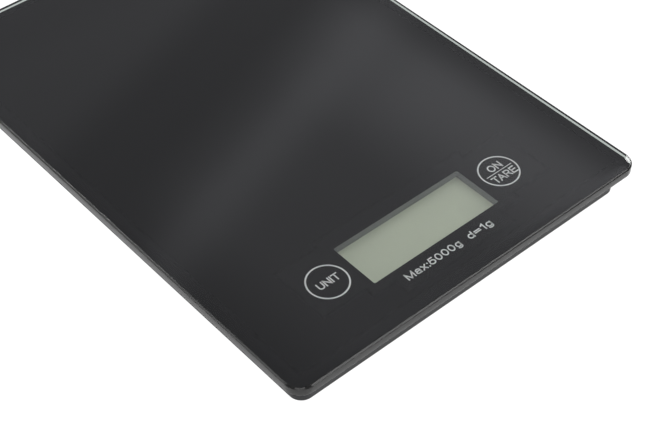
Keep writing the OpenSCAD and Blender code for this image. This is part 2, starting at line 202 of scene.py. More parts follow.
def card_glow(x, y):
    """The card's radiance over the glass point (x, y), in metres: an even grey, brighter towards the front
    right, with a ridge of light along a slanting line, dark behind that line and faintly lit further back."""
    x, y = x * 1000, y * 1000
    slant = y + 7 - 0.357 * x
    front = 0.2 * ease(x, -85, -45) + 0.42 * ease(x, 0, 50) - 0.5 * ease(x, 56, 78)
    ridge = 0.22 * np.exp(-((slant + 8) / 12) ** 2)
    lit = (1 - ease(slant, -4, 30)) * (front + ridge) * (1 - 0.4 * ease(y, -45, 10) * ease(x, 0, 40))
    return 0.5 + lit + 0.13 * ease(slant, 48, 75) - 0.05 * ease(y, 70, 100)


glow = new_material("lit_card")
strength = node(glow, "Attribute", attribute_name="glow")
node(glow, "OutputMaterial", {"Surface": node(glow, "Emission", {
    "Color": linear("#f8f9ff"), "Strength": strength.outputs["Fac"]}).outputs["Emission"]})
card = grid_surface("studio_card", card_points, glow)
card.data.attributes.new("glow", "FLOAT", "POINT").data.foreach_set(
    "value", card_glow(card_x, card_y).ravel().astype(np.float32))
card.visible_camera = False
card.visible_shadow = False

# ---------- lower housing and upper frame ----------
# The two halves of the case, injection-moulded in black ABS. The mould is spark-eroded, so
# every face has a fine even grain that takes the shine off, with a faint cloudiness of flow.


def dress(material, *names):
    """Gives CAD nodes a material."""
    for name in names:
        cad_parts[name].material_slots[0].material = material


# black ABS from a spark-eroded mould: a soft satin black whose grain breaks up highlights;
# the grain is 0.12 mm on the real case and is drawn at 0.3 mm so that it shows
black_abs = new_material("black_abs_spark_eroded")
place = node(black_abs, "TexCoord").outputs["Object"]
grain = node(black_abs, "TexNoise", {"Vector": place, "Scale": 3300.0, "Detail": 3.0, "Roughness": 0.6})
flow = node(black_abs, "TexNoise", {"Vector": place, "Scale": 40.0, "Detail": 4.0, "Distortion": 0.6})
shade = node(black_abs, "ValToRGB", {"Fac": flow.outputs["Fac"]}, tones={0.3: "#151618", 0.7: "#1c1d20"})
satin = node(black_abs, "MapRange", {"Value": grain.outputs["Fac"], "From Min": 0.3, "From Max": 0.7,
                                     "To Min": 0.34, "To Max": 0.5})
relief = node(black_abs, "Bump", {"Height": grain.outputs["Fac"], "Strength": 0.25, "Distance": 0.00006})
node(black_abs, "OutputMaterial", {"Surface": node(black_abs, "BsdfPrincipled", {
    "Base Color": shade.outputs["Color"], "Roughness": satin.outputs["Result"],
    "IOR": 1.53, "Specular IOR Level": 0.3, "Normal": relief.outputs["Normal"]}).outputs["BSDF"]})
dress(black_abs, "lower_housing", "upper_frame")

# ---------- battery bay: coin cell, two spring contacts and the bayonet cover ----------
# A lithium coin cell lies between two contact leaves in a round well moulded into the floor.
# The cover is a black ABS disc with a coin slot, turned under the well's edge to lock.

# nickel-plated steel of the cell, turned on a spindle: bright, with fine rings about its axis
cell_nickel = new_material("coin_cell_nickel")
place = node(cell_nickel, "TexCoord").outputs["Object"]
cell_middle = (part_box("battery_can")[0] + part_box("battery_can")[1]) / 2
centred = node(cell_nickel, "Mapping", {"Vector": place, "Location": (0.0, -cell_middle.y, 0.0)})
rings = node(cell_nickel, "TexWave", {"Vector": centred.outputs["Vector"], "Scale": 900.0, "Distortion": 1.5,
                                      "Detail": 2.0}, wave_type="RINGS", rings_direction="Z")
stain = node(cell_nickel, "TexNoise", {"Vector": place, "Scale": 160.0, "Detail": 4.0})
tint = node(cell_nickel, "ValToRGB", {"Fac": stain.outputs["Fac"]}, tones={0.0: "#b9bbbc", 1.0: "#d3d3d1"})
brushed = node(cell_nickel, "MapRange", {"Value": rings.outputs["Fac"], "To Min": 0.2, "To Max": 0.36})
relief = node(cell_nickel, "Bump", {"Height": rings.outputs["Fac"], "Strength": 0.15, "Distance": 0.00002})
node(cell_nickel, "OutputMaterial", {"Surface": node(cell_nickel, "BsdfPrincipled", {
    "Base Color": tint.outputs["Color"], "Metallic": 1.0, "Roughness": brushed.outputs["Result"],
    "Normal": relief.outputs["Normal"]}).outputs["BSDF"]})
dress(cell_nickel, "battery_can", "battery_cap")

# phosphor bronze strip with a nickel flash: pale gold metal, rolled along its length
contact_bronze = new_material("nickel_flashed_bronze")
place = node(contact_bronze, "TexCoord").outputs["Object"]
rolled = node(contact_bronze, "Mapping", {"Vector": place, "Scale": (9000.0, 260.0, 9000.0)})
lines = node(contact_bronze, "TexNoise", {"Vector": rolled.outputs["Vector"], "Scale": 1.0, "Detail": 3.0})
tarnish = node(contact_bronze, "TexNoise", {"Vector": place, "Scale": 300.0, "Detail": 3.0})
tint = node(contact_bronze, "ValToRGB", {"Fac": tarnish.outputs["Fac"]},
            tones={0.0: "#b7a36a", 1.0: "#d9cfa8"})
brushed = node(contact_bronze, "MapRange", {"Value": lines.outputs["Fac"], "To Min": 0.22, "To Max": 0.42})
node(contact_bronze, "OutputMaterial", {"Surface": node(contact_bronze, "BsdfPrincipled", {
    "Base Color": tint.outputs["Color"], "Metallic": 1.0,
    "Roughness": brushed.outputs["Result"]}).outputs["BSDF"]})
dress(contact_bronze, "contact_positive", "contact_negative")

# the cover's ABS is the case's black with a coarser grain, worn smoother round the coin slot
cover_abs = new_material("black_abs_cover")
place = node(cover_abs, "TexCoord").outputs["Object"]
centred = node(cover_abs, "Mapping", {"Vector": place, "Location": (0.0, -cell_middle.y, 0.0)})
from_slot = node(cover_abs, "VectorMath", {0: centred.outputs["Vector"]}, operation="LENGTH")
wear = node(cover_abs, "MapRange", {"Value": from_slot.outputs["Value"], "From Min": 0.004, "From Max": 0.012,
                                    "To Min": 0.3, "To Max": 0.48})
grain = node(cover_abs, "TexNoise", {"Vector": place, "Scale": 2400.0, "Detail": 3.0, "Roughness": 0.6})
shade = node(cover_abs, "ValToRGB", {"Fac": grain.outputs["Fac"]}, tones={0.0: "#191a1c", 1.0: "#252629"})
satin = node(cover_abs, "Math", {0: wear.outputs["Result"], 1: grain.outputs["Fac"]},
             operation="MULTIPLY_ADD")
satin.inputs[2].default_value = 0.12
relief = node(cover_abs, "Bump", {"Height": grain.outputs["Fac"], "Strength": 0.3, "Distance": 0.00008})
node(cover_abs, "OutputMaterial", {"Surface": node(cover_abs, "BsdfPrincipled", {
    "Base Color": shade.outputs["Color"], "Roughness": satin.outputs["Value"], "IOR": 1.53,
    "Normal": relief.outputs["Normal"]}).outputs["BSDF"]})
dress(cover_abs, "battery_cover")

# ---------- feet: ABS cups with silicone pads ----------
# Each foot is a ribbed black ABS cup that stands through a hole in the floor, with a stem that
# carries the load to its weighing plate. A silicone pad with round treads is pressed in under it.

corners = ("front_left", "front_right", "back_left", "back_right")
dress(black_abs, *[f"foot_cup_{corner}" for corner in corners])

# silicone rubber, moulded: dull dark grey, slightly dusty, with a fine skin
pad_rubber = new_material("silicone_rubber_pad")
place = node(pad_rubber, "TexCoord").outputs["Object"]
skin = node(pad_rubber, "TexNoise", {"Vector": place, "Scale": 2600.0, "Detail": 4.0})
dust = node(pad_rubber, "TexNoise", {"Vector": place, "Scale": 420.0, "Detail": 5.0, "Roughness": 0.65})
shade = node(pad_rubber, "ValToRGB", {"Fac": dust.outputs["Fac"]}, tones={0.42: "#38393b", 0.75: "#4d4e50"})
dull = node(pad_rubber, "MapRange", {"Value": skin.outputs["Fac"], "To Min": 0.6, "To Max": 0.85})
relief = node(pad_rubber, "Bump", {"Height": skin.outputs["Fac"], "Strength": 0.3, "Distance": 0.00006})
node(pad_rubber, "OutputMaterial", {"Surface": node(pad_rubber, "BsdfPrincipled", {
    "Base Color": shade.outputs["Color"], "Roughness": dull.outputs["Result"], "IOR": 1.43,
    "Sheen Weight": 0.1, "Sheen Roughness": 0.5, "Normal": relief.outputs["Normal"]}).outputs["BSDF"]})


def turned(name, middle, profile, material, steps=96):
    """A solid of revolution: each (radius, height) of the profile carried round an upright axis,
    with a flat face across each end of it."""
    turn = np.linspace(0.0, 2 * np.pi, steps, endpoint=False)[None, :]
    r, z = np.asarray(profile, float).T[:, :, None]
    points = np.stack([middle.x + r * np.cos(turn), middle.y + r * np.sin(turn),
                       np.broadcast_to(z, (r.shape[0], steps))], -1)
    return grid_surface(name, points, material, close_v=True, capped=True)


def eased(profile, radius, steps=3):
    """A profile with each inner corner rounded: a quadratic curve from one side to the other."""
    p = np.asarray(profile, float)
    before, after = p[:-2] - p[1:-1], p[2:] - p[1:-1]
    cut = np.minimum(radius, 0.45 * np.minimum(np.linalg.norm(before, axis=1), np.linalg.norm(after, axis=1)))
    start = p[1:-1] + before / np.linalg.norm(before, axis=1)[:, None] * cut[:, None]
    end = p[1:-1] + after / np.linalg.norm(after, axis=1)[:, None] * cut[:, None]
    t = np.linspace(0.0, 1.0, steps + 1)[None, :, None]
    arc = (1 - t) ** 2 * start[:, None] + 2 * t * (1 - t) * p[1:-1][:, None] + t ** 2 * end[:, None]
    return np.concatenate([p[:1], arc.reshape(-1, 2), p[-1:]])


mm = 0.001
tread_depth, tread_land, pad_edge, pad_hub = 0.3 * mm, 1.2 * mm, 0.12 * mm, 0.5 * mm
for corner in corners:
    low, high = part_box(f"foot_pad_{corner}")
    middle, pad_r = (low + high) / 2, (high.x - low.x) / 2
    edge = [(pad_hub, high.z), (pad_r, high.z), (pad_r, low.z)]
    for r in (pad_r, pad_r - 2 * tread_land, pad_r - 4 * tread_land):
        edge += [(r, low.z)] * (r != pad_r) + [(r - tread_land, low.z), (r - tread_land, low.z + tread_depth)]
        if r != pad_r - 4 * tread_land:
            edge += [(r - 2 * tread_land, low.z + tread_depth)]
    edge += [(pad_hub, low.z + tread_depth)]
    pad = turned(f"silicone_pad_{corner}", middle, eased(edge, pad_edge), pad_rubber)
    pad.data.polygons.foreach_set("use_smooth", np.ones(len(pad.data.polygons), bool))
    pad.data.set_sharp_from_angle(angle=math.radians(40))
    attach(pad, f"foot_{corner}")
    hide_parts(f"foot_pad_{corner}")

# ---------- weighing plates ----------
# A stamped spring-steel plate over each foot: a frame held in the case, and a tongue that the
# foot's stem bends. A strain gauge is glued on the tongue's root under a dab of white silicone.

# spring steel, rolled, stamped and hardened: grey with a blue-brown cast and fine rolling lines
spring_steel = new_material("hardened_spring_steel")
place = node(spring_steel, "TexCoord").outputs["Object"]
rolled = node(spring_steel, "Mapping", {"Vector": place, "Scale": (7000.0, 180.0, 7000.0)})
lines = node(spring_steel, "TexNoise", {"Vector": rolled.outputs["Vector"], "Scale": 1.0, "Detail": 4.0})
heat = node(spring_steel, "TexNoise", {"Vector": place, "Scale": 120.0, "Detail": 3.0, "Distortion": 0.8})
tint = node(spring_steel, "ValToRGB", {"Fac": heat.outputs["Fac"]}, tones={0.35: "#8b9097", 0.68: "#a5a19a"})
brushed = node(spring_steel, "MapRange", {"Value": lines.outputs["Fac"], "To Min": 0.24, "To Max": 0.46})
relief = node(spring_steel, "Bump", {"Height": lines.outputs["Fac"], "Strength": 0.12, "Distance": 0.00002})
node(spring_steel, "OutputMaterial", {"Surface": node(spring_steel, "BsdfPrincipled", {
    "Base Color": tint.outputs["Color"], "Metallic": 1.0, "Roughness": brushed.outputs["Result"],
    "Normal": relief.outputs["Normal"]}).outputs["BSDF"]})


def rim(width, depth, radius, steps=12):
    """A rounded rectangle about the origin: at each corner, points on a quarter circle."""
    turn = np.linspace(0.0, np.pi / 2, steps)[None, :] + (np.arange(4) * np.pi / 2)[:, None]
    side_x = np.array([1, -1, -1, 1])[:, None] * (width / 2 - radius)
    side_y = np.array([1, 1, -1, -1])[:, None] * (depth / 2 - radius)
    return np.stack([side_x + radius * np.cos(turn), side_y + radius * np.sin(turn)], -1).reshape(-1, 2)


plate_corner, slot_corner, slot_size = 1.5 * mm, 0.4 * mm, (10.4 * mm, 22.0 * mm)
tongue_wide, tongue_gap, tongue_root, stem_r = 7.6 * mm, 1.2 * mm, 0.2 * mm, 2.5 * mm
for corner in corners:
    low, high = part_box(f"load_plate_{corner}")
    middle = (low + high) / 2
    outer = rim(high.x - low.x, high.y - low.y, plate_corner)
    inner = rim(*slot_size, slot_corner)
    ring = np.stack([np.concatenate([loop, np.full((len(loop), 1), z)], 1) for loop, z in (
        (outer, low.z), (outer, high.z), (inner, high.z), (inner, low.z))], 1)
    ring += np.array([middle.x, middle.y, 0.0])
    plate = grid_surface(f"weighing_frame_{corner}", ring, spring_steel, close_u=True, close_v=True)
    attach(plate, "scale_body")
    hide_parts(f"load_plate_{corner}")
    # the tongue's root is at the plate's end nearer the scale's middle
    inward = -1.0 if middle.y > 0 else 1.0
    along = np.linspace(slot_size[1] / 2 + tongue_root, tongue_gap - slot_size[1] / 2, 33)[:, None] * inward
    across = np.array([0.5, -0.5, -0.5, 0.5])[None, :] * inward * tongue_wide
    height = np.array([low.z, low.z, high.z, high.z])[None, :]
    strip = np.stack(np.broadcast_arrays(middle.x + across, middle.y + along, height), -1)
    tongue = grid_surface(f"weighing_tongue_{corner}", strip, spring_steel, close_v=True, capped=True)
    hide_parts(f"load_plate_{corner}")
    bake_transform(tongue)

# room-cured silicone, white, smeared on by hand: soft lumps and a waxy gloss
sealant = new_material("white_silicone_sealant")
place = node(sealant, "TexCoord").outputs["Object"]
lumps = node(sealant, "TexNoise", {"Vector": place, "Scale": 700.0, "Detail": 3.0})
shade = node(sealant, "ValToRGB", {"Fac": lumps.outputs["Fac"]}, tones={0.0: "#dcdcd6", 1.0: "#efefeb"})
relief = node(sealant, "Bump", {"Height": lumps.outputs["Fac"], "Strength": 0.5, "Distance": 0.0003})
node(sealant, "OutputMaterial", {"Surface": node(sealant, "BsdfPrincipled", {
    "Base Color": shade.outputs["Color"], "Roughness": 0.35, "IOR": 1.41,
    "Normal": relief.outputs["Normal"]}).outputs["BSDF"]})
dress(sealant, "gauge_sealant")

# ---------- circuit board ----------
# A single glass-epoxy board under the display and keys. Green solder mask covers thin copper
# tracks, the chip sits under a blob of black epoxy, and four small screws hold the board.

# solder mask over copper: glossy green, a shade paler and raised where tracks run beneath;
# tracks are 0.3 mm wide, 1.2 mm apart
solder_mask = new_material("green_solder_mask")
place = node(solder_mask, "TexCoord").outputs["Object"]
wander = node(solder_mask, "TexBrick", {"Vector": place, "Scale": 1.0, "Mortar Size": 0.00015,
                                        "Mortar Smooth": 0.1, "Brick Width": 0.0069, "Row Height": 0.0012,
                                        "Color1": linear("#0f4a26"), "Color2": linear("#124f29"),
                                        "Mortar": linear("#2a7a45")})
weave = node(solder_mask, "TexNoise", {"Vector": place, "Scale": 1500.0, "Detail": 2.0})
gloss = node(solder_mask, "MapRange", {"Value": weave.outputs["Fac"], "To Min": 0.15, "To Max": 0.3})
relief = node(solder_mask, "Bump", {"Height": wander.outputs["Fac"], "Strength": 0.4, "Distance": 0.00004})
node(solder_mask, "OutputMaterial", {"Surface": node(solder_mask, "BsdfPrincipled", {
    "Base Color": wander.outputs["Color"], "Roughness": gloss.outputs["Result"], "IOR": 1.55,
    "Normal": relief.outputs["Normal"]}).outputs["BSDF"]})
dress(solder_mask, "main_pcb")

# poured epoxy: near black, a wavy gloss with a few pinholes
chip_epoxy = new_material("black_epoxy_blob")
place = node(chip_epoxy, "TexCoord").outputs["Object"]
waves = node(chip_epoxy, "TexNoise", {"Vector": place, "Scale": 500.0, "Detail": 2.0})
pits = node(chip_epoxy, "TexVoronoi", {"Vector": place, "Scale": 1600.0})
shade = node(chip_epoxy, "ValToRGB", {"Fac": waves.outputs["Fac"]}, tones={0.0: "#0c0c0d", 1.0: "#171718"})
dull = node(chip_epoxy, "MapRange", {"Value": pits.outputs["Distance"], "To Min": 0.5, "To Max": 0.22})
relief = node(chip_epoxy, "Bump", {"Height": waves.outputs["Fac"], "Strength": 0.4, "Distance": 0.0002})
node(chip_epoxy, "OutputMaterial", {"Surface": node(chip_epoxy, "BsdfPrincipled", {
    "Base Color": shade.outputs["Color"], "Roughness": dull.outputs["Result"], "IOR": 1.55,
    "Normal": relief.outputs["Normal"]}).outputs["BSDF"]})
dress(chip_epoxy, "chip_blob")

# chip resistors and capacitors: fired ceramic bodies 1.6 mm long with tinned ends, 4 mm apart
chip_ceramic = new_material("tinned_chip_ceramic")
place = node(chip_ceramic, "TexCoord").outputs["Object"]
apart = node(chip_ceramic, "SeparateXYZ", {"Vector": place})
shift = node(chip_ceramic, "Math", {0: apart.outputs["X"], 1: 0.004}, operation="PINGPONG")
end_cap = node(chip_ceramic, "MapRange", {"Value": shift.outputs["Value"],
                                          "From Min": 0.00155, "From Max": 0.0016})
far_cap = node(chip_ceramic, "MapRange", {"Value": shift.outputs["Value"],
                                          "From Min": 0.00245, "From Max": 0.0024})
inner = node(chip_ceramic, "Math", {0: end_cap.outputs["Result"], 1: far_cap.outputs["Result"]},
             operation="MULTIPLY")
fired = node(chip_ceramic, "TexNoise", {"Vector": place, "Scale": 4000.0, "Detail": 2.0})
body = node(chip_ceramic, "ValToRGB", {"Fac": fired.outputs["Fac"]}, tones={0.0: "#a4916c", 1.0: "#c0ae88"})
tint = node(chip_ceramic, "Mix", {"Factor": inner.outputs["Value"], 6: linear("#c9cacc"),
                                  7: body.outputs["Color"]}, data_type="RGBA")
tinned = node(chip_ceramic, "Math", {0: 1.0, 1: inner.outputs["Value"]}, operation="SUBTRACT")
rough = node(chip_ceramic, "MapRange", {"Value": fired.outputs["Fac"], "To Min": 0.3, "To Max": 0.5})
node(chip_ceramic, "OutputMaterial", {"Surface": node(chip_ceramic, "BsdfPrincipled", {
    "Base Color": tint.outputs[2], "Metallic": tinned.outputs["Value"],
    "Roughness": rough.outputs["Result"]}).outputs["BSDF"]})
dress(chip_ceramic, "chip_parts")

# drawn steel can with nickel plate: bright, with faint draw lines along its axis
crystal_can = new_material("drawn_nickel_can")
place = node(crystal_can, "TexCoord").outputs["Object"]
drawn = node(crystal_can, "Mapping", {"Vector": place, "Scale": (500.0, 12000.0, 12000.0)})
lines = node(crystal_can, "TexNoise", {"Vector": drawn.outputs["Vector"], "Scale": 1.0, "Detail": 2.0})
tint = node(crystal_can, "ValToRGB", {"Fac": lines.outputs["Fac"]}, tones={0.0: "#b3b5b8", 1.0: "#cfd0d1"})
brushed = node(crystal_can, "MapRange", {"Value": lines.outputs["Fac"], "To Min": 0.15, "To Max": 0.35})
node(crystal_can, "OutputMaterial", {"Surface": node(crystal_can, "BsdfPrincipled", {
    "Base Color": tint.outputs["Color"], "Metallic": 1.0,
    "Roughness": brushed.outputs["Result"]}).outputs["BSDF"]})
dress(crystal_can, "quartz_crystal")

# heat-shrunk PVC sleeve: dark blue-black with a pale stripe down one side
sleeve = new_material("capacitor_sleeve")
place = node(sleeve, "TexCoord").outputs["Object"]
can_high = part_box("filter_capacitor")[1]
apart = node(sleeve, "SeparateXYZ", {"Vector": place})
side = node(sleeve, "MapRange", {"Value": apart.outputs["X"], "From Min": can_high.x - 0.0004,
                                 "From Max": can_high.x - 0.00035})
creases = node(sleeve, "TexNoise", {"Vector": place, "Scale": 1800.0, "Detail": 2.0})
dark = node(sleeve, "ValToRGB", {"Fac": creases.outputs["Fac"]}, tones={0.0: "#1a1c26", 1.0: "#262935"})
tint = node(sleeve, "Mix", {"Factor": side.outputs["Result"], 6: dark.outputs["Color"],
                            7: linear("#b9bcc4")}, data_type="RGBA")
gloss = node(sleeve, "MapRange", {"Value": creases.outputs["Fac"], "To Min": 0.18, "To Max": 0.32})
node(sleeve, "OutputMaterial", {"Surface": node(sleeve, "BsdfPrincipled", {
    "Base Color": tint.outputs[2], "Roughness": gloss.outputs["Result"], "IOR": 1.53}).outputs["BSDF"]})
dress(sleeve, "filter_capacitor")

# tin solder, wetted and frozen: bright with a slight frosting
solder = new_material("bright_tin_solder")
place = node(solder, "TexCoord").outputs["Object"]
frost = node(solder, "TexNoise", {"Vector": place, "Scale": 3500.0, "Detail": 4.0})
tint = node(solder, "ValToRGB", {"Fac": frost.outputs["Fac"]}, tones={0.0: "#bfc1c4", 1.0: "#dadbdd"})
rough = node(solder, "MapRange", {"Value": frost.outputs["Fac"], "To Min": 0.12, "To Max": 0.34})
relief = node(solder, "Bump", {"Height": frost.outputs["Fac"], "Strength": 0.2, "Distance": 0.00005})
node(solder, "OutputMaterial", {"Surface": node(solder, "BsdfPrincipled", {
    "Base Color": tint.outputs["Color"], "Metallic": 1.0, "Roughness": rough.outputs["Result"],
    "Normal": relief.outputs["Normal"]}).outputs["BSDF"]})
dress(solder, "solder_joints")

# ---------- leads ----------
# Stranded copper leads in PVC, red, black and white, from each gauge and from the cell to the
# board. Each end is soldered. The insulation is extruded, so it is glossy with long faint lines.

for colour, name, dark, light in (("red", "wires_red", "#8f1a1e", "#b3262a"),
                                  ("black", "wires_black", "#131314", "#1e1e1f"),
                                  ("white", "wires_white", "#d6d6d0", "#e6e6e2")):
    # extruded PVC insulation: an even colour with slight clouding and a soft gloss
    insulation = new_material(f"pvc_insulation_{colour}")
    place = node(insulation, "TexCoord").outputs["Object"]
    cloud = node(insulation, "TexNoise", {"Vector": place, "Scale": 380.0, "Detail": 3.0})
    tint = node(insulation, "ValToRGB", {"Fac": cloud.outputs["Fac"]}, tones={0.0: dark, 1.0: light})
    gloss = node(insulation, "MapRange", {"Value": cloud.outputs["Fac"], "To Min": 0.25, "To Max": 0.45})
    node(insulation, "OutputMaterial", {"Surface": node(insulation, "BsdfPrincipled", {
        "Base Color": tint.outputs["Color"], "Roughness": gloss.outputs["Result"],
        "IOR": 1.53}).outputs["BSDF"]})
    dress(insulation, name)

# ---------- display ----------
# A blank twisted-nematic cell: two sheets of glass, a grey-green polariser on the front and a
# diffusing reflector behind. A conductive rubber strip joins it to the board, and a grey frame
# of ABS holds the stack up to the window.

# polariser film with an anti-glare face: soft grey-green, even, with a very fine sparkle
polariser = new_material("antiglare_polariser_film")
place = node(polariser, "TexCoord").outputs["Object"]
sparkle = node(polariser, "TexNoise", {"Vector": place, "Scale": 2600.0, "Detail": 2.0})
drift = node(polariser, "TexNoise", {"Vector": place, "Scale": 22.0, "Detail": 1.0})
both = node(polariser, "Math", {0: sparkle.outputs["Fac"], 1: 0.12, 2: drift.outputs["Fac"]},
            operation="MULTIPLY_ADD")
tint = node(polariser, "ValToRGB", {"Fac": both.outputs["Value"]}, tones={0.35: "#cccfbb", 0.8: "#d2d5c1"})
frosted = node(polariser, "MapRange", {"Value": sparkle.outputs["Fac"], "To Min": 0.4, "To Max": 0.55})
node(polariser, "OutputMaterial", {"Surface": node(polariser, "BsdfPrincipled", {
    "Base Color": tint.outputs["Color"], "Roughness": frosted.outputs["Result"],
    "IOR": 1.49}).outputs["BSDF"]})
dress(polariser, "lcd_polariser")

# display glass, 1.1 mm sheets, cut and left: greenish and clear, with frosty cut edges
display_glass = new_material("display_cell_glass")
place = node(display_glass, "TexCoord").outputs["Object"]
chips = node(display_glass, "TexNoise", {"Vector": place, "Scale": 1200.0, "Detail": 4.0})
shade = node(display_glass, "ValToRGB", {"Fac": chips.outputs["Fac"]}, tones={0.0: "#b8c4b4", 1.0: "#ccd6c8"})
frosted = node(display_glass, "MapRange", {"Value": chips.outputs["Fac"], "To Min": 0.05, "To Max": 0.25})
node(display_glass, "OutputMaterial", {"Surface": node(display_glass, "BsdfPrincipled", {
    "Base Color": shade.outputs["Color"], "Roughness": frosted.outputs["Result"],
    "Transmission Weight": 0.6, "IOR": 1.52}).outputs["BSDF"]})
dress(display_glass, "lcd_cell")

# aluminised polyester with a diffusing face: pale satin silver with a fine stipple
reflector = new_material("aluminised_reflector_film")
place = node(reflector, "TexCoord").outputs["Object"]
stipple = node(reflector, "TexVoronoi", {"Vector": place, "Scale": 3000.0})
shade = node(reflector, "ValToRGB", {"Fac": stipple.outputs["Distance"]},
             tones={0.0: "#b4b7b1", 1.0: "#c7cac4"})
rough = node(reflector, "MapRange", {"Value": stipple.outputs["Distance"], "To Min": 0.35, "To Max": 0.6})
node(reflector, "OutputMaterial", {"Surface": node(reflector, "BsdfPrincipled", {
    "Base Color": shade.outputs["Color"], "Metallic": 0.8,
    "Roughness": rough.outputs["Result"]}).outputs["BSDF"]})
dress(reflector, "lcd_reflector")

# silicone in alternate conducting and clear layers, 0.1 mm apart on the real strip and drawn at 0.3
layered_rubber = new_material("layered_contact_rubber")
place = node(layered_rubber, "TexCoord").outputs["Object"]
layers = node(layered_rubber, "TexWave", {"Vector": place, "Scale": 1000.0, "Distortion": 0.4},
              wave_type="BANDS", bands_direction="X")
shade = node(layered_rubber, "ValToRGB", {"Fac": layers.outputs["Fac"]},
             tones={0.0: "#232325", 1.0: "#4a4a4d"})
node(layered_rubber, "OutputMaterial", {"Surface": node(layered_rubber, "BsdfPrincipled", {
    "Base Color": shade.outputs["Color"], "Roughness": 0.6, "IOR": 1.43}).outputs["BSDF"]})
dress(layered_rubber, "zebra_strip")

# grey ABS, moulded matt: the sloping light inside the window shows it as a dark grey wall
frame_abs = new_material("grey_abs_display_frame")
place = node(frame_abs, "TexCoord").outputs["Object"]
grain = node(frame_abs, "TexNoise", {"Vector": place, "Scale": 3300.0, "Detail": 3.0})
shade = node(frame_abs, "ValToRGB", {"Fac": grain.outputs["Fac"]}, tones={0.0: "#676967", 1.0: "#747673"})
relief = node(frame_abs, "Bump", {"Height": grain.outputs["Fac"], "Strength": 0.25, "Distance": 0.00006})
node(frame_abs, "OutputMaterial", {"Surface": node(frame_abs, "BsdfPrincipled", {
    "Base Color": shade.outputs["Color"], "Roughness": 0.55, "IOR": 1.53,
    "Normal": relief.outputs["Normal"]}).outputs["BSDF"]})
dress(frame_abs, "lcd_bezel")

# ---------- touch key foams ----------
# A round pad of carbon-loaded foam stands on the board behind each key ring and carries the
# finger's touch from the glass to the board.

# open-cell foam, die-cut: black with a dull crumbly face; cells are 0.25 mm and drawn at 0.4
carbon_foam = new_material("carbon_loaded_foam")
place = node(carbon_foam, "TexCoord").outputs["Object"]
cells = node(carbon_foam, "TexVoronoi", {"Vector": place, "Scale": 2500.0})
shade = node(carbon_foam, "ValToRGB", {"Fac": cells.outputs["Distance"]},
             tones={0.0: "#1c1c1e", 1.0: "#38383b"})
relief = node(carbon_foam, "Bump", {"Height": cells.outputs["Distance"], "Strength": 0.8, "Distance": 0.0003})
node(carbon_foam, "OutputMaterial", {"Surface": node(carbon_foam, "BsdfPrincipled", {
    "Base Color": shade.outputs["Color"], "Roughness": 0.9, "IOR": 1.45,
    "Normal": relief.outputs["Normal"]}).outputs["BSDF"]})
dress(carbon_foam, "touch_foams")

# ---------- screws ----------
# Eight small cross-head screws close the case from below, and four smaller ones hold the board.
# Rolled steel wire with bright zinc plate.

# zinc plate: a cool bright metal with a faint yellow and blue iridescence and a slightly worn drive
zinc = new_material("bright_zinc_plate")
place = node(zinc, "TexCoord").outputs["Object"]
film = node(zinc, "TexNoise", {"Vector": place, "Scale": 600.0, "Detail": 3.0, "Distortion": 0.5})
tint = node(zinc, "ValToRGB", {"Fac": film.outputs["Fac"]}, tones={0.35: "#9aa0a8", 0.65: "#b9b7ae"})
rough = node(zinc, "MapRange", {"Value": film.outputs["Fac"], "To Min": 0.22, "To Max": 0.42})
node(zinc, "OutputMaterial", {"Surface": node(zinc, "BsdfPrincipled", {
    "Base Color": tint.outputs["Color"], "Metallic": 1.0,
    "Roughness": rough.outputs["Result"]}).outputs["BSDF"]})
dress(zinc, "housing_screws", "pcb_screws")

# ---------- rating label ----------
# A blank silver polyester label stuck in a shallow recess on the underside.

# metallised polyester: satin silver with a faint brushed grain along the label
label_film = new_material("silver_polyester_label")
place = node(label_film, "TexCoord").outputs["Object"]
along = node(label_film, "Mapping", {"Vector": place, "Scale": (60.0, 5200.0, 5200.0)})
lines = node(label_film, "TexNoise", {"Vector": along.outputs["Vector"], "Scale": 1.0, "Detail": 3.0})
shade = node(label_film, "ValToRGB", {"Fac": lines.outputs["Fac"]}, tones={0.0: "#b6b7b9", 1.0: "#cdcecf"})
rough = node(label_film, "MapRange", {"Value": lines.outputs["Fac"], "To Min": 0.35, "To Max": 0.55})
node(label_film, "OutputMaterial", {"Surface": node(label_film, "BsdfPrincipled", {
    "Base Color": shade.outputs["Color"], "Metallic": 0.6,
    "Roughness": rough.outputs["Result"]}).outputs["BSDF"]})
dress(label_film, "rating_label")

# ---------- foam tape ----------
# A frame of double-sided acrylic foam tape bonds the glass to the upper frame.

# closed-cell acrylic foam: dull black with tiny bubbles at the cut edge
tape_foam = new_material("black_acrylic_foam_tape")
place = node(tape_foam, "TexCoord").outputs["Object"]
cells = node(tape_foam, "TexVoronoi", {"Vector": place, "Scale": 3500.0})
shade = node(tape_foam, "ValToRGB", {"Fac": cells.outputs["Distance"]},
             tones={0.0: "#1f1f21", 1.0: "#303032"})
relief = node(tape_foam, "Bump", {"Height": cells.outputs["Distance"], "Strength": 0.5, "Distance": 0.0001})
node(tape_foam, "OutputMaterial", {"Surface": node(tape_foam, "BsdfPrincipled", {
    "Base Color": shade.outputs["Color"], "Roughness": 0.75, "IOR": 1.47,
    "Normal": relief.outputs["Normal"]}).outputs["BSDF"]})
dress(tape_foam, "foam_tape")

# ---------- print under the glass ----------
# Black ceramic ink screen-printed on the underside, with the display window left clear. The
# silver rings, key words and capacity line are printed first, so they show through the glass.

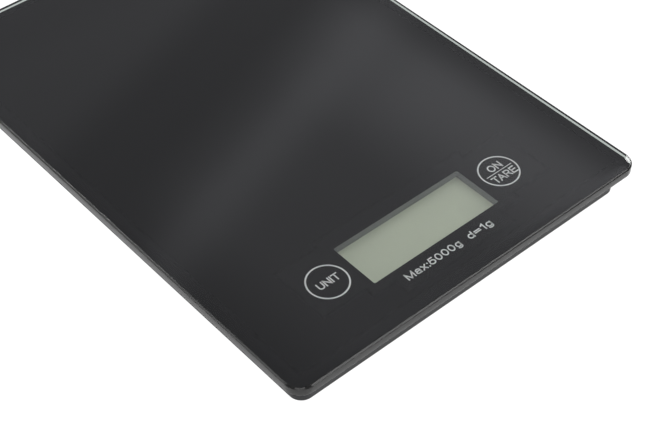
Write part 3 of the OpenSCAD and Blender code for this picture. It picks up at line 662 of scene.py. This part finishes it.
# screen ink: dense black with a faint mesh texture, dull because the glass gives the gloss
black_ink = new_material("black_screen_ink")
place = node(black_ink, "TexCoord").outputs["Object"]
mesh_marks = node(black_ink, "TexNoise", {"Vector": place, "Scale": 900.0, "Detail": 2.0})
shade = node(black_ink, "ValToRGB", {"Fac": mesh_marks.outputs["Fac"]},
             tones={0.0: "#0b0b0c", 1.0: "#0d0d0e"})
node(black_ink, "OutputMaterial", {"Surface": node(black_ink, "BsdfPrincipled", {
    "Base Color": shade.outputs["Color"], "Roughness": 0.8, "Specular IOR Level": 0.0}).outputs["BSDF"]})
dress(black_ink, "back_print")

# silver ink: aluminium flake in clear varnish, seen as an even light grey with a fine sparkle
silver_ink = new_material("silver_screen_ink")
place = node(silver_ink, "TexCoord").outputs["Object"]
flake = node(silver_ink, "TexNoise", {"Vector": place, "Scale": 6000.0, "Detail": 1.0})
shade = node(silver_ink, "ValToRGB", {"Fac": flake.outputs["Fac"]}, tones={0.3: "#e6e8e9", 0.7: "#f2f3f4"})
node(silver_ink, "OutputMaterial", {"Surface": node(silver_ink, "BsdfPrincipled", {
    "Base Color": shade.outputs["Color"], "Roughness": 0.6, "Specular IOR Level": 0.0}).outputs["BSDF"]})

ink_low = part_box("back_print")[1].z
ink_high = ink_low + 0.01 * mm
front_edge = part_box("glass_platform")[0].y
key_x, key_y = 40.5 * mm, front_edge + 31.3 * mm
ring_r, ring_line, divider_line = 7.48 * mm, 0.6 * mm, 0.35 * mm


def ring_print(name, x, y, radius, line):
    """A flat ring: a low rectangle carried round a circle."""
    turn = np.linspace(0.0, 2 * np.pi, 128, endpoint=False)[:, None]
    r = np.array([radius - line / 2, radius + line / 2, radius + line / 2, radius - line / 2])[None, :]
    z = np.broadcast_to(np.array([ink_low, ink_low, ink_high, ink_high])[None, :], (128, 4))
    points = np.stack([x + r * np.cos(turn), y + r * np.sin(turn), z], -1)
    made = grid_surface(name, points, silver_ink, close_u=True, close_v=True)
    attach(made, "scale_body")


ring_print("key_ring_left", -key_x, key_y, ring_r, ring_line)
ring_print("key_ring_right", key_x, key_y, ring_r, ring_line)


def bow(x, y, wide, high, start, end):
    """Part of an ellipse about (x, y) between two angles in degrees, anticlockwise if end > start."""
    angle = np.radians(np.linspace(start, end, 25))
    return np.stack([x + wide * np.cos(angle), y + high * np.sin(angle)], -1).tolist()


# plain letters as pen strokes, with the capital height as 1
letters = {
    "U": [[(0, 1)] + bow(0.33, 0.34, 0.33, 0.34, 180, 360) + [(0.66, 1)]],
    "N": [[(0, 0), (0, 1)], [(0, 1), (0.68, 0)], [(0.68, 0), (0.68, 1)]],
    "I": [[(0, 0), (0, 1)]],
    "T": [[(0, 1), (0.72, 1)], [(0.36, 1), (0.36, 0)]],
    "O": [bow(0.4, 0.5, 0.4, 0.5, 0, 360)],
    "A": [[(0, 0), (0.38, 1)], [(0.38, 1), (0.76, 0)], [(0.13, 0.34), (0.63, 0.34)]],
    "R": [[(0, 0), (0, 1)] + bow(0.36, 0.73, 0.28, 0.27, 90, -90) + [(0, 0.46)],
          [(0.36, 0.46), (0.7, 0)]],
    "E": [[(0.62, 1), (0, 1), (0, 0), (0.64, 0)], [(0, 0.52), (0.58, 0.52)]],
    "M": [[(0, 0), (0, 1)], [(0, 1), (0.4, 0)], [(0.4, 0), (0.8, 1)], [(0.8, 1), (0.8, 0)]],
    "a": [bow(0.24, 0.2, 0.24, 0.2, 0, 360), bow(0.26, 0.5, 0.22, 0.2, 165, 0) + [(0.48, 0)]],
    "x": [[(0, 0), (0.46, 0.7)], [(0, 0.7), (0.46, 0)]],
    ":": [[(0, 0), (0, 0.02)], [(0, 0.6), (0, 0.62)]],
    "=": [[(0, 0.62), (0.56, 0.62)], [(0, 0.34), (0.56, 0.34)]],
    "0": [bow(0.27, 0.5, 0.27, 0.5, 0, 360)],
    "1": [[(0, 0.78), (0.22, 1), (0.22, 0)]],
    "5": [[(0.5, 1), (0.1, 1), (0.02, 0.48)] + bow(0.26, 0.32, 0.28, 0.32, 140, -150)],
    "d": [bow(0.24, 0.35, 0.24, 0.35, 0, 360), [(0.48, 1), (0.48, 0)]],
    "g": [bow(0.24, 0.35, 0.24, 0.35, 0, 360), [(0.48, 0.7)] + bow(0.24, -0.04, 0.24, 0.22, 0, -150)],
}


def word_print(name, word, x0, x1, base, cap):
    """A word from x0 to x1 on a base line. Each stroke is a flat ribbon one pen wide: its two sides
    stand half the pen off the line, mitred at a corner, and its square ends run half the pen past
    the last point."""
    pen = 0.165 * cap
    paths, start = [], 0.0
    for letter, before in zip(word, " " + word):
        start -= 0.13 * (before + letter == "TA")
        strokes = [np.array(path, float) for path in letters[letter]]
        paths += [path + (start, 0.0) for path in strokes]
        start += max(path[:, 0].max() for path in strokes) + 0.27
    wide = max(path[:, 0].max() for path in paths)
    depth = np.array([ink_low, ink_low, ink_high, ink_high])[None, :, None]
    points, faces = [], []
    for path in paths:
        line = path / (wide, 1.0) * (x1 - x0 - pen, cap - pen) + (x0 + pen / 2, base + pen / 2)
        way = np.diff(line, axis=0)
        way /= np.linalg.norm(way, axis=1)[:, None]
        line[0] -= way[0] * pen / 2
        line[-1] += way[-1] * pen / 2
        left = np.stack([-way[:, 1], way[:, 0]], -1)
        before, after = np.concatenate([left[:1], left]), np.concatenate([left, left[-1:]])
        side = (before + after) / (1 + np.sum(before * after, 1))[:, None] * pen / 2
        ribbon = np.stack([line + side, line - side, line - side, line + side], 1)
        first = 4 * sum(len(part) for part in points)
        points.append(np.concatenate([ribbon, np.broadcast_to(depth, (len(line), 4, 1))], -1))
        faces += [[first + corner for corner in face]
                  for face in grid_faces(len(line), 4, close_v=True, capped=True)]
    made = mesh_object(name, np.concatenate(points), faces, silver_ink)
    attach(made, "scale_body")


cap_height, key_cap = 3.2 * mm, 3.4 * mm
word_print("word_unit", "UNIT", -key_x - 4.3 * mm, -key_x + 4.9 * mm, key_y - cap_height / 2, cap_height)
word_print("word_on", "ON", key_x - 2.8 * mm, key_x + 3.3 * mm, key_y + 0.85 * mm, key_cap)
word_print("word_tare", "TARE", key_x - 5.4 * mm, key_x + 5.8 * mm, key_y - 4.4 * mm, key_cap)
capacity_y = front_edge + 13.7 * mm
word_print("capacity_max", "Max:5000g", -19.8 * mm, 5.3 * mm, capacity_y, cap_height)
word_print("capacity_step", "d=1g", 9.0 * mm, 20.2 * mm, capacity_y, cap_height)
divider = np.stack([np.stack([np.full(4, x), key_y + np.array([0.5, -0.5, -0.5, 0.5]) * divider_line,
                              np.array([ink_low, ink_low, ink_high, ink_high])], -1)
                    for x in np.linspace(key_x - 6.0 * mm, key_x + 6.2 * mm, 5)])
key_line = grid_surface("key_divider", divider, silver_ink, close_v=True, capped=True)
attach(key_line, "scale_body")

# ---------- glass platform ----------
# One sheet of 4 mm toughened float glass with ground and polished edges and a bevel top and
# bottom. It is bonded to the print beneath, so the ink looks to lie on the glass's lower face.

# float glass: clear with a slight green; a clean face whose gloss is only barely uneven
float_glass = new_material("toughened_float_glass")
place = node(float_glass, "TexCoord").outputs["Object"]
smear = node(float_glass, "TexNoise", {"Vector": place, "Scale": 35.0, "Detail": 4.0, "Distortion": 1.2})
clean = node(float_glass, "MapRange", {"Value": smear.outputs["Fac"], "From Min": 0.45, "From Max": 0.8,
                                       "To Min": 0.0, "To Max": 0.04})
# nothing shows through the sheet where the print is plain black, so the glass is made smoky there;
# it is clear over the display, the keys, the capacity line and round the rim
across = node(float_glass, "VectorMath", {0: place}, operation="ABSOLUTE")
rim_start = node(float_glass, "VectorMath", {0: across.outputs["Vector"], 1: (0.0755, 0.1095, 0.0)},
                 operation="SUBTRACT")
apart = node(float_glass, "SeparateXYZ", {"Vector": rim_start.outputs["Vector"]})
past = node(float_glass, "Math", {0: apart.outputs["X"], 1: apart.outputs["Y"]}, operation="MAXIMUM")
clear = node(float_glass, "MapRange", {"Value": past.outputs["Value"], "From Min": -0.002,
                                       "From Max": 0.0}, interpolation_type="SMOOTHSTEP").outputs["Result"]
cell_low, cell_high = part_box("lcd_cell")
for middle, half in (((0.0, cell_low.y / 2 + cell_high.y / 2), (32.5 * mm, 13.7 * mm)),
                     ((-key_x, key_y), (10.3 * mm, 10.3 * mm)), ((key_x, key_y), (10.3 * mm, 10.3 * mm)),
                     ((0.0, capacity_y + cap_height / 2), (22.8 * mm, 4.6 * mm))):
    off = node(float_glass, "VectorMath", {0: place, 1: (*middle, 0.0)}, operation="SUBTRACT")
    size = node(float_glass, "VectorMath", {0: off.outputs["Vector"]}, operation="ABSOLUTE")
    over = node(float_glass, "VectorMath", {0: size.outputs["Vector"], 1: (*half, 0.0)}, operation="SUBTRACT")
    apart = node(float_glass, "SeparateXYZ", {"Vector": over.outputs["Vector"]})
    past = node(float_glass, "Math", {0: apart.outputs["X"], 1: apart.outputs["Y"]}, operation="MAXIMUM")
    inside = node(float_glass, "MapRange", {"Value": past.outputs["Value"], "From Min": 0.003,
                                            "From Max": 0.0}, interpolation_type="SMOOTHSTEP")
    clear = node(float_glass, "Math", {0: clear, 1: inside.outputs["Result"]},
                 operation="MAXIMUM").outputs["Value"]
smoke = node(float_glass, "ValToRGB", {"Fac": clear}, tones={0.0: "#161616", 1.0: "#f4f8f5"})
node(float_glass, "OutputMaterial", {"Surface": node(float_glass, "BsdfPrincipled", {
    "Base Color": smoke.outputs["Color"], "Roughness": clean.outputs["Result"], "IOR": 1.52,
    "Transmission Weight": 1.0}).outputs["BSDF"]})

# the ground and polished edge: the same glass with fine wheel marks along it
ground_edge = new_material("ground_glass_edge")
place = node(ground_edge, "TexCoord").outputs["Object"]
wheel = node(ground_edge, "Mapping", {"Vector": place, "Scale": (300.0, 300.0, 9000.0)})
marks = node(ground_edge, "TexNoise", {"Vector": wheel.outputs["Vector"], "Scale": 1.0, "Detail": 3.0})
polish = node(ground_edge, "MapRange", {"Value": marks.outputs["Fac"], "To Min": 0.05, "To Max": 0.09})
node(ground_edge, "OutputMaterial", {"Surface": node(ground_edge, "BsdfPrincipled", {
    "Base Color": linear("#848d88"), "Roughness": polish.outputs["Result"], "IOR": 1.52,
    "Specular IOR Level": 0.18, "Transmission Weight": 1.0}).outputs["BSDF"]})

low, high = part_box("glass_platform")
glass_w, glass_d, glass_r = high.x - low.x, high.y - low.y, 6.4 * mm
bevel, bond, face_start, edge_round = 0.6 * mm, 0.02 * mm, 4.0 * mm, 0.1 * mm
edge = eased([(face_start, low.z - bond), (bevel, low.z - bond), (0.0, low.z + bevel), (0.0, high.z - bevel),
              (bevel, high.z), (face_start, high.z)], edge_round)
corner_steps = 33
loops = np.stack([np.concatenate([
    rim(glass_w - 2 * inset, glass_d - 2 * inset, glass_r - inset, corner_steps),
    np.full((4 * corner_steps, 1), z)], 1) for inset, z in edge], 1)
count, steps = loops.shape[:2]
lid = (np.arange(count) * steps + steps - 1).tolist()
sole = (np.arange(count)[::-1] * steps).tolist()
glass = mesh_object("glass_sheet", loops, grid_faces(count, steps, close_u=True) + [lid, sole],
                    float_glass, ground_edge)
flat = np.isclose(edge[:-1, 1], edge[1:, 1])
on_edge = np.concatenate([np.tile(np.where(flat, 0, 1), count), [0, 0]])
glass.data.polygons.foreach_set("material_index", on_edge.astype(np.int32))
glass.data.polygons.foreach_set("use_smooth", np.ones(len(glass.data.polygons), bool))
glass.data.set_sharp_from_angle(angle=math.radians(10))
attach(glass, "scale_body")
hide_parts("glass_platform")
